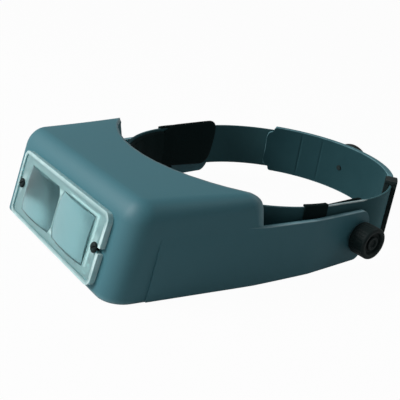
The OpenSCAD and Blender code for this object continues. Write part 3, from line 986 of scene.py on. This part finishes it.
def makeBuckle():
    b, q = bandSet, buckleSet
    low, high = q["place"] - q["span"] / 2, q["place"] + q["span"] / 2
    inner = b["radius"] - b["thick"] - q["play"] - q["bar"]
    outer = b["radius"] + q["play"] + q["bar"]
    half, thin = q["gapTall"] / 2, q["span"] / q["fingers"]
    upright = (-half - q["lap"], half + q["lap"])
    bars = [((low, high), (inner, inner + q["bar"]), upright),
            ((low, high), (inner, outer), (half, half + q["bar"])),
            ((low, high), (inner, outer), (-half - q["bar"], -half))]
    for mid in (low + thin / 2, q["place"], high - thin / 2):
        bars.append(((mid - thin / 2, mid + thin / 2), (outer - q["bar"], outer), upright))
    verts, faces = joined([bentBar(*bar) for bar in bars])
    addPiece("slideBuckle", verts, faces, "slider", ["buckle"], "black", smooth=40)


knobSet = dict(flutes=24, deep=0.02, fluteFrom=0.97, plain=1.6, face=0.7, count=192)


def knobMesh(r, length, bore, spin, place):
    q = knobSet

    def ripple(radius, x, a):
        if radius < r * q["fluteFrom"] or x < q["plain"] or x > length - q["plain"]:
            return radius
        wave = max(0, math.cos(a * q["flutes"])) ** 2
        return radius - q["deep"] * r * wave

    face = q["face"] * r
    back = [(bore, 0), (r - 1.1, 0), (r - 0.35, 0.3), (r, 1.1), (r, 1.59), (r, 2.3), (r, length / 2)]
    front = [(r, 2.3), (r, 1.59), (r, 1.1), (r - 0.35, 0.35), (r - 1.1, 0), (face + 0.5, 0),
             (face, 0.4), (face - 0.3, 1.9), (face - 0.8, 2.1), (0.46 * r, 2.1), (0.43 * r, 1.9),
             (0.42 * r, 0.9), (0.39 * r, 0.7), (0.27 * r, 0.7), (0.25 * r, 0.9), (0.23 * r, 1.5),
             (0.02, 1.5)]  # radius and depth below the front face
    profile = back + [(radius, length - depth) for radius, depth in front]
    return turned(profile, spin, place, q["count"], ripple)


pivotSet = dict(knobAt=87.5, knobR=10.5, knobL=12, bore=2.6)
lockSet = dict(turn=-5, start=82.8, r=18, length=10, bore=1.4)


def makeKnobs():
    q, k = pivotSet, lockSet
    for s in (-1, 1):
        name = sideName(s)
        spin, place = Matrix.Diagonal((s, s, 1)), Vector((s * q["knobAt"], 0, 0))
        verts, faces = knobMesh(q["knobR"], q["knobL"], q["bore"], spin, place)
        addPiece("tiltKnob" + name, verts, faces, "knob_" + name.lower(),
                 ["pivot_knob_" + name.lower()], "black", smooth=50)
    spin = Matrix.Rotation(math.radians(90 - k["turn"]), 3, "Z")
    place = Vector((0, bandSet["rearY"], bandSet["lift"])) + spin @ Vector((k["start"], 0, 0))
    verts, faces = knobMesh(k["r"], k["length"], k["bore"], spin, place)
    addPiece("lockKnob", verts, faces, "lock", ["lock_knob"], "black", smooth=50)


screwSet = dict(head=3.0, tall=1.5, shank=1.5, under=7.5, count=40,
                slotWide=0.8, slotDeep=0.7, slotLong=1.2, slotOver=1, slotTurn=35)
boxFaces = [(0, 3, 2, 1), (4, 5, 6, 7), (0, 1, 5, 4), (1, 2, 6, 5), (2, 3, 7, 6), (3, 0, 4, 7)]


def makeScrew(s):
    q, p = screwSet, plateSet
    floor = p["t"] - p["lipDeep"] + p["seat"]
    head, shank, under, top = q["head"], q["shank"], -q["under"], floor + q["tall"]
    x0 = s * (p["w"] / 2 - p["inset"])
    spin = wallTurn @ Matrix.Rotation(math.radians(-90), 3, "Z")
    profile = [(0.02, under), (shank - 0.3, under), (shank, under + 0.4), (shank, floor),
               (head - 0.15, floor), (head, floor + 0.2), (head, floor + 0.7),
               (head - 0.3, floor + 1.15), (head - 0.9, top - 0.08), (0.4, top), (0.02, top)]
    verts, faces = turned(profile, spin, Vector(onWall(x0, 0, 0)), q["count"])
    stands = ["lens_screws"] if s > 0 else []
    screw = addPiece("plateScrew" + sideName(s), verts, faces, "visor", stands, "black",
                     smooth=40)
    c, n = math.cos(math.radians(q["slotTurn"])), math.sin(math.radians(q["slotTurn"]))
    corners = []
    for out in (top - q["slotDeep"], top + q["slotOver"]):
        for x, z in ((-1, -1), (1, -1), (1, 1), (-1, 1)):
            u, v = x * (head * q["slotLong"]), z * (q["slotWide"] / 2)
            corners.append(onWall(x0 + u * c - v * n, u * n + v * c, out))
    carve(screw, corners, boxFaces)


nodeSet = dict(flat=0.5, soft=0.2, plateSoft=0.45, rounds=3, angle=40)
nodeLooks = dict(
    lens_frame="plate", lens_nut_left="black", lens_nut_right="black",
    lock_screw="black", lock_washer="black", pivot_stud_left="steel", pivot_stud_right="steel",
    friction_washer_left="black", friction_washer_right="black",
    spring_washer_left="steel", spring_washer_right="steel")


def dressNodes():
    q = nodeSet
    for name, look in nodeLooks.items():  # these pieces keep the CAD shape, with softened edges
        node = frame["nodes"][name]
        node.data.materials.clear()
        node.data.materials.append(finish[look])
        flat = node.modifiers.new("joinFlats", "DECIMATE")
        flat.decimate_type, flat.angle_limit = "DISSOLVE", math.radians(q["flat"])
        soften(node, q["plateSoft"] if look == "plate" else q["soft"], q["rounds"], q["angle"])


makeBuckle()
makeKnobs()
for side in (-1, 1):
    makeScrew(side)
dressNodes()
print("buckle, knobs and screws made")

bpy.context.view_layer.update()
